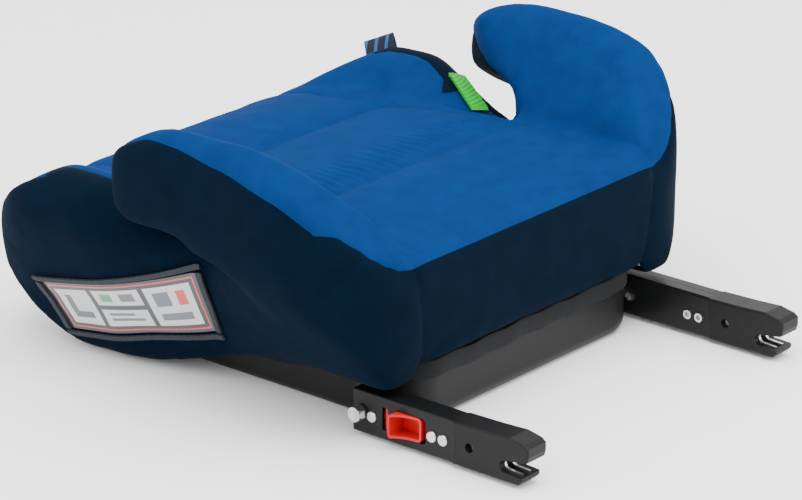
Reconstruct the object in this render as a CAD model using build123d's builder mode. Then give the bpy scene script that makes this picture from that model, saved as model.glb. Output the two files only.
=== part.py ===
from build123d import *
import os

# Backless booster seat with two rigid lower-anchorage arms. Millimetres.
# +Z is up, the front of the seat faces -Y and +X is the child's left.
# The origin is on the floor, in the middle of the outline in X and Y.

# Seat
half_length = 230.0
panel_split = 126.0          # half width of the middle of the cover, between the side panels
panel_gap = 0.3
cover_thickness = 4.0
pad_thickness = 12.0
pad_clearance = 1.0
rear_top = (121.7, 118.0)
rear_bottom = (116.5, 47.0)
hem_bottom_z = 34.0
hem_thickness = 2.2

# Base shell
base_half_width = 125.0
base_front_y = -165.0
base_rear_y = 112.0
base_height = 60.0
base_wall = 3.0
base_floor = 6.0
base_corner_radius = 28.0
base_bottom_radius = 10.0
rib_x = 80.0
rib_y = 60.0
rib_height = 53.0

# Anchorage arms
arm_x = 140.0                # the arms stand 280 mm apart
arm_half_width = 8.8
arm_height = 30.0
arm_bottom_z = 3.0
arm_middle_z = arm_bottom_z + arm_height / 2
sheet_thickness = 2.0
seam_gap = 0.15
hole_y = 182.0               # cross-hole in the cap
hole_z = arm_bottom_z + 15.1
hole_radius = 3.25
cap_half_width = 10.0
cap_front_y = hole_y - 14.7
outer_front_y = hole_y - 99.0
inner_front_y = hole_y - 103.0
front_chamfer = 7.0

# Pivot of the arms: one threaded rod right across the base
pivot_y = hole_y - 92.2
pivot_z = arm_middle_z
axle_radius = 3.0
axle_half_length = 158.5
running_clearance = 0.05
side_play = 0.1
tube_radius = 6.0
bush_radius = 5.2
sleeve_radius = 5.0
washer_radius = 5.2
washer_thickness = 1.6
nut_flats = 10.0
nut_height = 6.0

# Rivets
rivet_radius = 2.5
rivet_head_radius = 4.0
rivet_head_height = 1.8
rivet_tail_radius = 3.25
rivet_socket_radius = 1.8
rivet_y = [hole_y - 82.8, hole_y - 32.0, hole_y - 22.5]
rivet_z = arm_bottom_z + 13.8

# Slot in the hook for a 6 mm bar
slot_radius = 3.7
slot_centre_y = hole_y + 29.1
slot_centre_z = arm_bottom_z + 10.5
slot_mouth_bottom_z = arm_bottom_z + 5.8
slot_mouth_top_z = arm_bottom_z + 17.0
cap_slot_margin = 0.5

# Release slider, its window and the indicator slot ahead of it
window_front_y = hole_y - 64.4
window_rear_y = hole_y - 37.0
window_bottom_z = arm_bottom_z + 6.0
window_top_z = arm_bottom_z + 24.0
window_radius = 3.5
indicator_y = hole_y - 71.6
indicator_length = 5.0
indicator_height = 16.0
slider_fit = 0.5
slider_wall = 1.8
slider_travel = 3.2
slider_rear_y = window_rear_y - slider_travel - 0.4
slider_floor_x = arm_x - 0.5
slider_top_x = arm_x + 16.0
slider_slide_x = arm_x + 6.7    # the part that passes under the channel's web ends here
rod_radius = 1.2
rod_z = arm_bottom_z + 4.4

# Latch
plate_thickness = 2.0
plate_inner = 2.8
plate_front_y = hole_y - 36.0
latch_half_thickness = 2.5
pawl_half_thickness = 2.0
latch_pin_radius = 2.0
latch_pin_place = (hole_y + 23.0, arm_bottom_z + 23.5)
pawl_pin_place = (hole_y + 10.0, arm_bottom_z + 9.0)
pin_half_length = 5.1
cavity_half_width = 5.2

# Slider spring
spring_radius = 2.6
spring_wire = 0.4
spring_turns = 4.0
spring_start_y = rivet_y[0] + rivet_radius + 0.6
spring_end_y = indicator_y - indicator_length / 2 + 1.2

os.makedirs("parts", exist_ok=True)


def write(shape, node):
    """Label one finished piece and write its STEP file."""
    shape.label = node
    export_step(shape, f"parts/{node}.step")


def write_pair(shape, node):
    """Write a left piece and its mirror image on the right."""
    write(shape, f"{node}_left")
    write(mirror(shape, about=Plane.YZ), f"{node}_right")


def inset(points, depth):
    """Move the points of an open outline sideways, to the right of travel."""
    moved = []
    last = len(points) - 1
    for i, point in enumerate(points):
        before = Vector(*points[max(i - 1, 0)])
        after = Vector(*points[min(i + 1, last)])
        along = (after - before).normalized()
        moved.append((point[0] + along.Y * depth, point[1] - along.X * depth))
    return moved


# ---------------------------------------------------------------- base shell
# Black moulded tray with a closed floor, rounded lower edges and ribs that carry the core.

with BuildPart() as base_shell:
    middle = (0, (base_front_y + base_rear_y) / 2)
    length = base_rear_y - base_front_y
    with BuildSketch():
        with Locations(middle):
            RectangleRounded(2 * base_half_width, length, base_corner_radius)
    extrude(amount=base_height)
    fillet(base_shell.faces().sort_by(Axis.Z)[0].edges(), base_bottom_radius)
    with BuildSketch(Plane.XY.offset(base_floor)):
        with Locations(middle):
            RectangleRounded(2 * (base_half_width - base_wall), length - 2 * base_wall,
                             base_corner_radius - base_wall)
    extrude(amount=base_height, mode=Mode.SUBTRACT)
    with BuildSketch(Plane.XY.offset(base_floor)):
        with Locations((-rib_x, middle[1]), (rib_x, middle[1])):
            Rectangle(base_wall, length - base_wall)
        with Locations((0, rib_y), (0, -rib_y)):
            Rectangle(2 * base_half_width - base_wall, base_wall)
    extrude(amount=rib_height)
    with BuildSketch(Plane.YZ.offset(-base_half_width - base_wall)):
        with Locations((pivot_y, pivot_z)):
            Circle(axle_radius + running_clearance)
    extrude(amount=2 * (base_half_width + base_wall), mode=Mode.SUBTRACT)
    with BuildSketch(Plane.YZ.offset(base_wall - base_half_width)):
        with Locations((pivot_y, pivot_z)):
            Circle(tube_radius + running_clearance)
    extrude(amount=2 * (base_half_width - base_wall), mode=Mode.SUBTRACT)
write(base_shell.part, "base_shell")


# ---------------------------------------------------------------- middle of the seat
# Seen from the side: a foam core on the ribs, a soft pad on top and a fitted cover over both.

seat_nose = [(-173, 3), (-205, 20), (-226, 50), (-230, 76), (-221, 97), (-197, 112)]
seat_top = [(-160, 117), (-111, 120), (-50, 127), (5, 130), (60, 129), (rear_top[0], 122.5)]
nose_count = len(seat_nose)
cover_outline = seat_nose + seat_top
inner_outline = inset(cover_outline, cover_thickness)
pad_top = inset(cover_outline, cover_thickness + pad_clearance)
pad_bottom = inset(cover_outline, cover_thickness + pad_thickness)
rear_inner_top = (rear_top[0] - cover_thickness, rear_top[1])
rear_inner_bottom = (rear_bottom[0] - cover_thickness, rear_bottom[1])
middle_plane = Plane.YZ.offset(panel_gap - panel_split)
middle_width = 2 * (panel_split - panel_gap)

with BuildPart() as cover_seat:
    with BuildSketch(middle_plane):
        with BuildLine():
            outside = Spline(*cover_outline)
            inside = Spline(*inner_outline)
            Line(outside @ 0, inside @ 0)
            Line(outside @ 1, inside @ 1)
        make_face()
    extrude(amount=middle_width)
write(cover_seat.part, "cover_seat")

with BuildPart() as seat_pad:
    with BuildSketch(middle_plane):
        with BuildLine():
            outside = Spline(*pad_top[nose_count - 1:-1])
            inside = Spline(*pad_bottom[nose_count - 1:-1])
            Line(outside @ 0, inside @ 0)
            Line(outside @ 1, inside @ 1)
        make_face()
    extrude(amount=middle_width)
write(seat_pad.part, "seat_pad")

with BuildPart() as seat_core:
    with BuildSketch(middle_plane):
        with BuildLine():
            nose = Spline(*inset(cover_outline, cover_thickness + panel_gap)[:nose_count])
            under_pad = Spline(*inset(cover_outline, cover_thickness + pad_thickness + panel_gap)[nose_count - 1:-1])
            Line(nose @ 1, under_pad @ 0)
            Polyline(under_pad @ 1, (rear_inner_bottom[0], base_height + panel_gap),
                     (base_front_y - panel_gap, base_height + panel_gap), (base_front_y - panel_gap, 6), nose @ 0)
        make_face()
    extrude(amount=middle_width)
write(seat_core.part, "seat_core")

with BuildPart() as cover_rear:
    with BuildSketch(middle_plane):
        with BuildLine():
            Polyline(rear_top, rear_bottom, rear_inner_bottom, rear_inner_top, close=True)
        make_face()
    extrude(amount=middle_width)
write(cover_rear.part, "cover_rear")

# Elastic hem that grips the tray below the rear of the cover.
with BuildPart() as hem_elastic:
    with BuildSketch(Plane.XY.offset(hem_bottom_z)):
        with Locations((0, base_rear_y + panel_gap + hem_thickness / 2)):
            Rectangle(2 * base_half_width - 2 * base_corner_radius, hem_thickness)
    extrude(amount=rear_bottom[1] - panel_gap - hem_bottom_z)
write(hem_elastic.part, "hem_elastic")


# ---------------------------------------------------------------- side panels and armrests
# Each side is the common volume of a side view, a front view and a plan view. The side view
# holds the front bolster, the belt gap and the armrest that curls forward over it. The
# bolster has a front view of its own, and the armrest narrows to a round tip.

bolster_line = [(-160, 1.5), (-200, 24), (-220, 62), (-221, 88), (-206, 107), (-186, 121.5), (-166, 132.5),
                (-145, 138.5), (-122, 138.5), (-98, 131), (-76, 122), (-55, 115.5), (-36, 113.5)]
gap_line = [(-17, 119.5)]
armrest_under_line = [(-30, 125), (-48, 126.5), (-70, 127.5), (-86, 133)]
armrest_top_line = [(-95, 147), (-91, 166), (-68, 183), (-37, 192), (-5, 195), (25, 192), (55, 182), (80, 166),
                    (101, 145), (115, 122), (121, 98), (120, 65), (116, 38)]
lower_line = [(50, 38), (-5, 32), (-50, 18), (-95, 5)]
front_view = [(138, -1), (152, 37), (186, 86), (199, 115), (203, 140), (200, 170), (192, 188), (183, 194),
              (173, 190), (155, 168), (138, 147), (panel_split, 133)]
bolster_front_view = [(150, -1), (160, 13), (168, 37), (181, 68), (195, 94), (201, 111), (195, 125), (184, 134),
                      (171, 138.5), (158, 136), (146, 129), (136, 122), (panel_split, 117)]
waist_view = [(138, -1), (150, 37), (158, 66), (165, 90), (166, 101), (162, 110), (154, 116), (144, 119.5),
              (136, 121), (panel_split, 122)]
plan_view = [(panel_split, -228.5), (152, -225), (176, -212), (193, -191), (201, -164), (203, -130), (203, 30),
             (197, 68), (180, 98), (155, 116), (panel_split, 122)]
armrest_plan = [(panel_split, 18), (133, 0), (143, -25), (153, -47), (165, -66), (177, -81), (187, -90),
                (195, -87), (201, -74), (204, -55)]
armrest_zone = [(140, 92), (46, 92), (31, 98), (17, 107), (3, 114.5), (-17, 118.5), (-42, 119.5), (-60, 121),
                (-78, 124.7), (-92, 133), (-130, 170), (-130, 215), (140, 215)]
bolster_zone = [(-231, -2), (-30, -2), (-30, 118), (-42, 119.5), (-60, 121), (-78, 124.7), (-92, 133), (-130, 170),
                (-231, 170)]
gap_outer_x, gap_inner_x = 190.0, 120.0
gap_outer_view = [(-16, 112), (-16.5, 119), (-24, 123), (-40, 125.5), (-62, 127), (-84, 132), (-112, 140), (-112, 112)]
gap_inner_view = [(-14, 112), (-10, 137), (-16, 155), (-34, 166), (-62, 173), (-100, 180), (-128, 190), (-128, 112)]
waist_y = (-120.0, -30.0, 50.0)
armrest_floor = 80.0
armrest_rise = 240.0
side_extent = 90.0
inner_edge = panel_split - side_extent


def side_prism(outline):
    """A block with the given side view, over the whole width of one side."""
    with BuildPart() as block:
        with BuildSketch(Plane.YZ.offset(panel_split - 1)):
            Polygon(*outline, align=None)
        extrude(amount=side_extent)
    return block.part


def front_face(outline, depth, y):
    """The face inside a front view at y, drawn in by depth and closed well inside the seat."""
    with BuildSketch(Plane.XZ.offset(-y)) as face:
        with BuildLine():
            edge = Spline(*inset(outline, -depth))
            Polyline(edge @ 1, (inner_edge, (edge @ 1).Y), (inner_edge, (edge @ 0).Y), edge @ 0)
        make_face()
    return face.sketch


def side_volume(depth):
    """The left side of the seat, drawn in by depth from its outer surface."""
    side_view = bolster_line + gap_line + armrest_under_line + armrest_top_line
    drawn = inset(side_view, depth)
    gap_start = len(bolster_line)
    under_end = gap_start + len(gap_line) + len(armrest_under_line)
    with BuildPart() as volume:
        with BuildSketch(Plane.YZ.offset(panel_split)):
            with BuildLine():
                bolster = Spline(*drawn[:gap_start])
                gap = ThreePointArc(bolster @ 1, drawn[gap_start], drawn[gap_start + 1])
                under = Spline(*drawn[gap_start + 1:under_end])
                over = Spline(*drawn[under_end - 1:])
                lower = [(y, z + depth) for y, z in lower_line]
                Polyline(over @ 1, *lower, bolster @ 0)
            make_face()
        extrude(amount=side_extent)
        with BuildSketch():
            with BuildLine():
                outline = Spline(*inset(plan_view, -depth))
                Polyline(outline @ 1, (inner_edge, (outline @ 1).Y), (inner_edge, (outline @ 0).Y), outline @ 0)
            make_face()
        extrude(amount=armrest_rise, mode=Mode.INTERSECT)
    waist_start, waist_middle, waist_end = waist_y
    waist = front_face(waist_view, depth, waist_middle)
    with BuildPart() as bolster_body:
        front_end = front_face(bolster_front_view, depth, waist_start)
        extrude(front_end, amount=waist_start + half_length)
        loft([front_end, waist])
    with BuildPart() as rear_body:
        rear_end = front_face(front_view, depth, waist_end)
        extrude(rear_end, amount=waist_end - half_length)
        loft([rear_end, waist])
    with BuildPart() as full_width:
        extrude(front_face(front_view, depth, half_length), amount=2 * half_length)
    with BuildPart() as armrest_body:
        with BuildSketch(Plane.XY.offset(armrest_floor)):
            with BuildLine():
                outline = Spline(*inset(armrest_plan, -depth))
                Polyline(outline @ 1, (side_extent + panel_split, (outline @ 1).Y),
                         (side_extent + panel_split, 140), (inner_edge, 140), (inner_edge, (outline @ 0).Y),
                         outline @ 0)
            make_face()
        extrude(amount=armrest_rise)
        with BuildSketch(Plane.YZ.offset(gap_outer_x)) as outer_end:
            Polygon(*[(y + depth / 2, z + depth) for y, z in gap_outer_view], align=None)
        with BuildSketch(Plane.YZ.offset(gap_inner_x)) as inner_end:
            Polygon(*[(y + depth / 2, z + depth) for y, z in gap_inner_view], align=None)
        loft([outer_end.sketch, inner_end.sketch], ruled=True, mode=Mode.SUBTRACT)
    above = side_prism(armrest_zone)
    front = side_prism(bolster_zone)
    armrest = volume.part & above & full_width.part & armrest_body.part
    return armrest + (volume.part & front & bolster_body.part) + ((volume.part - above - front) & rear_body.part)


outer_volume = side_volume(0)
inner_volume = side_volume(cover_thickness)

for zone_mode, prefix in ((Mode.SUBTRACT, "side"), (Mode.INTERSECT, "armrest")):
    with BuildPart() as cover:
        add(outer_volume)
        add(inner_volume, mode=Mode.SUBTRACT)
        add(side_prism(armrest_zone), mode=zone_mode)
    write_pair(cover.part, f"cover_{prefix}")
    with BuildPart() as core:
        add(inner_volume)
        add(side_prism(armrest_zone), mode=zone_mode)
    write_pair(core.part, f"{prefix}_core")


# ---------------------------------------------------------------- small sewn pieces
# A pocket with a picture card on the left side, a folded tag on the right bolster and a green
# loop at each belt gap.

pocket_plane = Plane(origin=(171.5, -104, 62), x_dir=(0, 1, 0.1), z_dir=(0.88, 0.10, -0.46))
pocket_size = (146, 58)
pocket_border = 4.0
pocket_lift = 8.0
pocket_thickness = 1.6

with BuildPart() as label_binding:
    with BuildSketch(pocket_plane.offset(pocket_lift)):
        RectangleRounded(*pocket_size, pocket_border)
        Rectangle(pocket_size[0] - 2 * pocket_border, pocket_size[1] - 2 * pocket_border, mode=Mode.SUBTRACT)
    extrude(amount=pocket_thickness)
write(label_binding.part, "label_binding")

with BuildPart() as label_card:
    with BuildSketch(pocket_plane.offset(pocket_lift)):
        Rectangle(pocket_size[0] - 2 * pocket_border, pocket_size[1] - 2 * pocket_border)
    extrude(amount=pocket_thickness / 2)
write(label_card.part, "label_card")

front_tag_plane = Plane(origin=(-186, -176, 122), x_dir=(0, 28, 14), z_dir=(1, 0, 0))
front_tag_size = (31, 17, 2.4)
with BuildPart() as front_tag:
    with BuildSketch(front_tag_plane):
        with Locations((0, front_tag_size[1] / 2)):
            Rectangle(*front_tag_size[:2])
    extrude(amount=front_tag_size[2])
    add(outer_volume.mirror(Plane.YZ), mode=Mode.SUBTRACT)
write(front_tag.part, "front_tag")

loop_line = [(-96, 133), (-76, 123.5), (-55, 117.5)]
loop_lift = 1.5
loop_thickness = 1.6
loop_x = 146.0
loop_width = 14.0
with BuildPart() as belt_loop:
    with BuildSketch(Plane.YZ.offset(loop_x)):
        with BuildLine():
            above = Spline(*inset(loop_line, -loop_lift - loop_thickness))
            below = Spline(*inset(loop_line, -loop_lift))
            Line(above @ 0, below @ 0)
            Line(above @ 1, below @ 1)
        make_face()
    extrude(amount=loop_width)
write_pair(belt_loop.part, "belt_loop")


# ---------------------------------------------------------------- pivot across the base
# A threaded rod in a spacer tube carries both arms, with a bush inside and a washer and a nut
# outside each arm.

pivot_place = (pivot_y, pivot_z)
metal_outside_x = arm_x + arm_half_width
metal_inside_x = arm_x - arm_half_width

with BuildPart() as axle_rod:
    with BuildSketch(Plane.YZ.offset(-axle_half_length)):
        with Locations(pivot_place):
            Circle(axle_radius)
    extrude(amount=2 * axle_half_length)
    chamfer(axle_rod.edges().filter_by(GeomType.CIRCLE), 0.6)
write(axle_rod.part, "axle_rod")


def ring(start_x, end_x, outer_radius):
    """A turned ring on the pivot rod, from start_x to end_x."""
    with BuildPart() as turned:
        with BuildSketch(Plane.YZ.offset(start_x)):
            with Locations(pivot_place):
                Circle(outer_radius)
                Circle(axle_radius + running_clearance, mode=Mode.SUBTRACT)
        extrude(amount=end_x - start_x)
    return turned.part


tube_half_length = base_half_width - base_wall
write(ring(-tube_half_length, tube_half_length, tube_radius), "spacer_tube")
write_pair(ring(base_half_width, metal_inside_x - side_play, bush_radius), "pivot_bush")
washer_x = metal_outside_x + side_play
write_pair(ring(washer_x, washer_x + washer_thickness, washer_radius), "pivot_washer")

with BuildPart() as pivot_nut:
    nut_x = washer_x + washer_thickness
    with BuildSketch(Plane.YZ.offset(nut_x)):
        with Locations(pivot_place):
            RegularPolygon(nut_flats / 2, 6, major_radius=False, rotation=30)
    extrude(amount=nut_height)
    with BuildSketch(Plane.YZ.offset(nut_x - 1)):
        with Locations(pivot_place):
            Circle(nut_flats / 2 + 1.1)
    extrude(amount=nut_height + 1.4, taper=8, mode=Mode.INTERSECT)
    with BuildSketch(Plane.YZ.offset(nut_x - 1)):
        with Locations(pivot_place):
            Circle(axle_radius)
    extrude(amount=nut_height + 2, mode=Mode.SUBTRACT)
write_pair(pivot_nut.part, "pivot_nut")


# ---------------------------------------------------------------- arm channels
# Two folded sheet channels nest with their open sides together, so a seam runs along the top.

window_middle = ((window_front_y + window_rear_y) / 2, (window_bottom_z + window_top_z) / 2)
window_size = (window_rear_y - window_front_y, window_top_z - window_bottom_z)

with BuildPart() as outer_channel:
    with BuildSketch(Plane.XZ.offset(-outer_front_y)):
        with Locations((arm_x + seam_gap, arm_middle_z)):
            Rectangle(arm_half_width - seam_gap, arm_height, align=(Align.MIN, Align.CENTER))
        with Locations((arm_x - seam_gap, arm_middle_z)):
            Rectangle(arm_half_width + seam_gap - sheet_thickness, arm_height - 2 * sheet_thickness,
                      align=(Align.MIN, Align.CENTER), mode=Mode.SUBTRACT)
    extrude(amount=outer_front_y - cap_front_y)
    fillet(outer_channel.edges().filter_by(Axis.Y).group_by(Axis.X)[-1], sheet_thickness - 0.4)
    with BuildSketch(Plane.YZ.offset(arm_x + arm_half_width - 2 * sheet_thickness)):
        with Locations(pivot_place):
            Circle(axle_radius + running_clearance)
        with Locations(*[(y, rivet_z) for y in rivet_y]):
            Circle(rivet_radius)
        with Locations(window_middle):
            RectangleRounded(*window_size, window_radius)
        with Locations((indicator_y, window_middle[1])):
            RectangleRounded(indicator_length, indicator_height, 1.2)
    extrude(amount=4 * sheet_thickness, mode=Mode.SUBTRACT)
write_pair(outer_channel.part, "outer_channel")

with BuildPart() as inner_channel:
    with BuildSketch(Plane.XZ.offset(-inner_front_y)):
        with Locations((arm_x - seam_gap, arm_middle_z)):
            Rectangle(arm_half_width - seam_gap, arm_height, align=(Align.MAX, Align.CENTER))
        with Locations((arm_x + seam_gap, arm_middle_z)):
            Rectangle(arm_half_width + seam_gap - sheet_thickness, arm_height - 2 * sheet_thickness,
                      align=(Align.MAX, Align.CENTER), mode=Mode.SUBTRACT)
    extrude(amount=inner_front_y - cap_front_y)
    fillet(inner_channel.edges().filter_by(Axis.Y).group_by(Axis.X)[0], sheet_thickness - 0.4)
    with BuildSketch(Plane.YZ.offset(arm_x - arm_half_width - 1)):
        with Locations(pivot_place):
            Circle(axle_radius + running_clearance)
        with Locations(*[(y, rivet_z) for y in rivet_y]):
            Circle(rivet_radius)
        Polygon((inner_front_y, arm_bottom_z), (inner_front_y + front_chamfer, arm_bottom_z),
                (inner_front_y, arm_bottom_z + front_chamfer), align=None)
    extrude(amount=arm_half_width + 1, mode=Mode.SUBTRACT)
write_pair(inner_channel.part, "inner_channel")

sleeve_start_x = metal_inside_x + sheet_thickness
sleeve_end_x = metal_outside_x - sheet_thickness
write_pair(ring(sleeve_start_x, sleeve_end_x, sleeve_radius), "pivot_sleeve")

# Domed rivets join the channels and the hook plates. Their tails are hollow.
with BuildPart() as rivets:
    with BuildSketch(Plane.YZ.offset(metal_inside_x)):
        with Locations(*[(y, rivet_z) for y in rivet_y]):
            Circle(rivet_radius)
    extrude(amount=2 * arm_half_width)
    with BuildSketch(Plane.YZ.offset(metal_outside_x)):
        with Locations(*[(y, rivet_z) for y in rivet_y]):
            Circle(rivet_head_radius)
    extrude(amount=rivet_head_height)
    fillet(rivets.faces().sort_by(Axis.X)[-3:].edges(), rivet_head_height - 0.2)
    with BuildSketch(Plane.YZ.offset(metal_inside_x - rivet_head_height)):
        with Locations(*[(y, rivet_z) for y in rivet_y]):
            Circle(rivet_tail_radius)
    extrude(amount=rivet_head_height)
    with BuildSketch(Plane.YZ.offset(metal_inside_x - rivet_head_height)):
        with Locations(*[(y, rivet_z) for y in rivet_y]):
            Circle(rivet_socket_radius)
    extrude(amount=2 * rivet_head_height, mode=Mode.SUBTRACT)
write_pair(rivets.part, "rivets")


# ---------------------------------------------------------------- hook
# The plates take the load of the bar. The plastic cap covers them and leads the bar in.

cap_view = [(cap_front_y, arm_bottom_z), (222, arm_bottom_z), (225, 6), (225.4, 13), (228.4, 18.5),
            (half_length, 24), (half_length, 30), (226.5, 32.4), (215.4, 34.6), (195, 33.6), (cap_front_y, 33)]
plate_view = [(plate_front_y, 6), (219, 6), (221.5, 8.5), (221.5, 18), (225.5, 19.5), (225.5, 26), (221, 30),
              (plate_front_y, 30)]
cavity_view = [(cap_front_y - 1, 5.5), (219.3, 5.5), (222, 8.2), (222, 17.5), (226, 19), (226, 26.3), (221.3, 30.5),
               (cap_front_y - 1, 30.5)]


def slot_outline(margin):
    """The bar slot seen from the side, widened by margin, on a plane beside the hook."""
    mouth_y = half_length + 1
    radius = slot_radius + margin
    with BuildSketch(Plane.YZ.offset(arm_x - cap_half_width - 1)) as slot:
        with Locations((slot_centre_y, slot_centre_z)):
            Circle(radius)
        Polygon((slot_centre_y, slot_centre_z - radius), (mouth_y, slot_mouth_bottom_z - margin),
                (mouth_y, slot_mouth_top_z + margin), (slot_centre_y, slot_centre_z + radius), align=None)
    return slot.sketch


with BuildPart() as hook_cap:
    with BuildSketch(Plane.YZ.offset(arm_x - cap_half_width)):
        Polygon(*cap_view, align=None)
    extrude(amount=2 * cap_half_width)
    side_edges = hook_cap.edges().group_by(Axis.X)
    fillet(side_edges[0] + side_edges[-1], 1.6)
    with BuildSketch(Plane.YZ.offset(arm_x - cavity_half_width)):
        Polygon(*cavity_view, align=None)
    extrude(amount=2 * cavity_half_width, mode=Mode.SUBTRACT)
    extrude(slot_outline(cap_slot_margin), amount=2 * cap_half_width + 2, mode=Mode.SUBTRACT)
    with BuildSketch(Plane.YZ.offset(arm_x - cap_half_width - 1)):
        with Locations((hole_y, hole_z)):
            Circle(hole_radius)
    extrude(amount=2 * cap_half_width + 2, mode=Mode.SUBTRACT)
write_pair(hook_cap.part, "hook_cap")

with BuildPart() as hook_plates:
    for start_x in (arm_x - plate_inner - plate_thickness, arm_x + plate_inner):
        with BuildSketch(Plane.YZ.offset(start_x)):
            Polygon(*plate_view, align=None)
            with Locations(latch_pin_place, pawl_pin_place):
                Circle(latch_pin_radius, mode=Mode.SUBTRACT)
            with Locations((hole_y, hole_z)):
                Circle(hole_radius, mode=Mode.SUBTRACT)
            with Locations(*[(y, rivet_z) for y in rivet_y[1:]]):
                Circle(rivet_radius, mode=Mode.SUBTRACT)
        extrude(amount=plate_thickness)
    extrude(slot_outline(0), amount=2 * cap_half_width + 2, mode=Mode.SUBTRACT)
write_pair(hook_plates.part, "hook_plates")

with BuildPart() as latch_pins:
    with BuildSketch(Plane.YZ.offset(arm_x - pin_half_length)):
        with Locations(latch_pin_place, pawl_pin_place):
            Circle(latch_pin_radius)
    extrude(amount=2 * pin_half_length)
write_pair(latch_pins.part, "latch_pins")

# The latch swings down across the slot behind the bar. The pawl stands behind its tail.
latch_view = [(200.5, 24), (203, 22.3), (212, 22.3), (217, 21.5), (219, 17.4), (222.3, 17.2), (223.3, 22),
              (221.5, 28), (216, 30), (204, 30.1), (200.9, 28.5)]
pawl_view = [(189.5, 9.5), (194.5, 9.5), (195, 14), (199, 21), (197.5, 23), (193.5, 17), (189.5, 14)]

with BuildPart() as latch_hook:
    with BuildSketch(Plane.YZ.offset(arm_x - latch_half_thickness)):
        Polygon(*latch_view, align=None)
        with Locations(latch_pin_place):
            Circle(latch_pin_radius + running_clearance, mode=Mode.SUBTRACT)
    extrude(amount=2 * latch_half_thickness)
write_pair(latch_hook.part, "latch_hook")

with BuildPart() as lock_pawl:
    with BuildSketch(Plane.YZ.offset(arm_x - pawl_half_thickness)):
        Polygon(*pawl_view, align=None)
        with Locations(pawl_pin_place):
            Circle(latch_pin_radius + running_clearance, mode=Mode.SUBTRACT)
    extrude(amount=2 * pawl_half_thickness)
write_pair(lock_pawl.part, "lock_pawl")


# ---------------------------------------------------------------- release slider
# A red scoop in the window, high at its front end. Its tail passes behind the indicator slot,
# and a rod runs from the lug under it to the pawl.

scoop_size = (slider_rear_y - window_front_y - slider_fit, window_size[1] - 2 * slider_fit)
scoop_middle = (window_front_y + slider_fit + scoop_size[0] / 2, window_middle[1])
lug_front_y = window_front_y + 4.0
lug_length = 8.0

with BuildPart() as release_slider:
    with BuildSketch(Plane.YZ.offset(slider_floor_x)):
        with Locations(scoop_middle):
            RectangleRounded(*scoop_size, window_radius - slider_fit)
    extrude(amount=slider_top_x - slider_floor_x)
    with BuildSketch(Plane.YZ.offset(slider_floor_x + slider_wall)):
        with Locations(scoop_middle):
            RectangleRounded(scoop_size[0] - 2 * slider_wall, scoop_size[1] - 2 * slider_wall, window_radius - slider_wall)
    extrude(amount=slider_top_x, mode=Mode.SUBTRACT)
    with BuildSketch(Plane.XY.offset(window_bottom_z)):
        with BuildLine():
            slope = Spline((slider_top_x + 0.5, window_front_y + 2.2), (metal_outside_x + 3.5, window_front_y + 7.5),
                           (metal_outside_x + 0.7, slider_rear_y - 6), (metal_outside_x + 0.4, slider_rear_y + 1))
            Polyline(slope @ 1, (slider_top_x + 2, slider_rear_y + 1), slope @ 0)
        make_face()
    extrude(amount=window_size[1], mode=Mode.SUBTRACT)
    with BuildSketch(Plane.YZ.offset(arm_x + 5.0)):
        with Locations((spring_end_y, window_middle[1])):
            Rectangle(scoop_middle[0] - spring_end_y, indicator_height + 2, align=(Align.MIN, Align.CENTER))
    extrude(amount=slider_slide_x - arm_x - 5.0)
    with BuildSketch(Plane.YZ.offset(slider_floor_x + slider_wall)):
        with Locations(scoop_middle):
            RectangleRounded(scoop_size[0] - 2 * slider_wall, scoop_size[1] - 2 * slider_wall, window_radius - slider_wall)
    extrude(amount=slider_top_x, mode=Mode.SUBTRACT)
    with BuildSketch(Plane.YZ.offset(arm_x - 1.5)):
        with Locations((spring_end_y, rivet_z)):
            Rectangle(2.0, 2 * spring_radius + 2, align=(Align.MIN, Align.CENTER))
    extrude(amount=6.6)
    with BuildSketch(Plane.YZ.offset(arm_x - plate_inner)):
        with Locations((lug_front_y, arm_bottom_z + 2.6)):
            Rectangle(lug_length, window_bottom_z + slider_fit + slider_wall - arm_bottom_z - 2.6,
                      align=(Align.MIN, Align.MIN))
    extrude(amount=2 * plate_inner)
    with BuildSketch(Plane.XZ.offset(-lug_front_y + 1)):
        with Locations((arm_x, rod_z)):
            Circle(rod_radius)
    extrude(amount=-lug_length - 2, mode=Mode.SUBTRACT)
write_pair(release_slider.part, "release_slider")

with BuildPart() as pull_rod:
    with BuildSketch(Plane.XZ.offset(-lug_front_y)):
        with Locations((arm_x, rod_z)):
            Circle(rod_radius)
    extrude(amount=lug_front_y - pawl_pin_place[0] + 3)
write_pair(pull_rod.part, "pull_rod")

with BuildPart() as slider_spring:
    spring_length = spring_end_y - spring_start_y
    coil_pitch = (spring_length - 2 * spring_wire) / spring_turns
    with BuildLine() as coil_line:
        Helix(coil_pitch, spring_length - 2 * spring_wire, spring_radius,
              center=(arm_x, spring_start_y + spring_wire, rivet_z), direction=(0, 1, 0))
    with BuildSketch(Plane(origin=coil_line.line @ 0, z_dir=coil_line.line % 0)):
        Circle(spring_wire)
    sweep(is_frenet=True)
write_pair(slider_spring.part, "slider_spring")
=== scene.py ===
import math

import bmesh
import bpy
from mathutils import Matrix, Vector, noise


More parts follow.
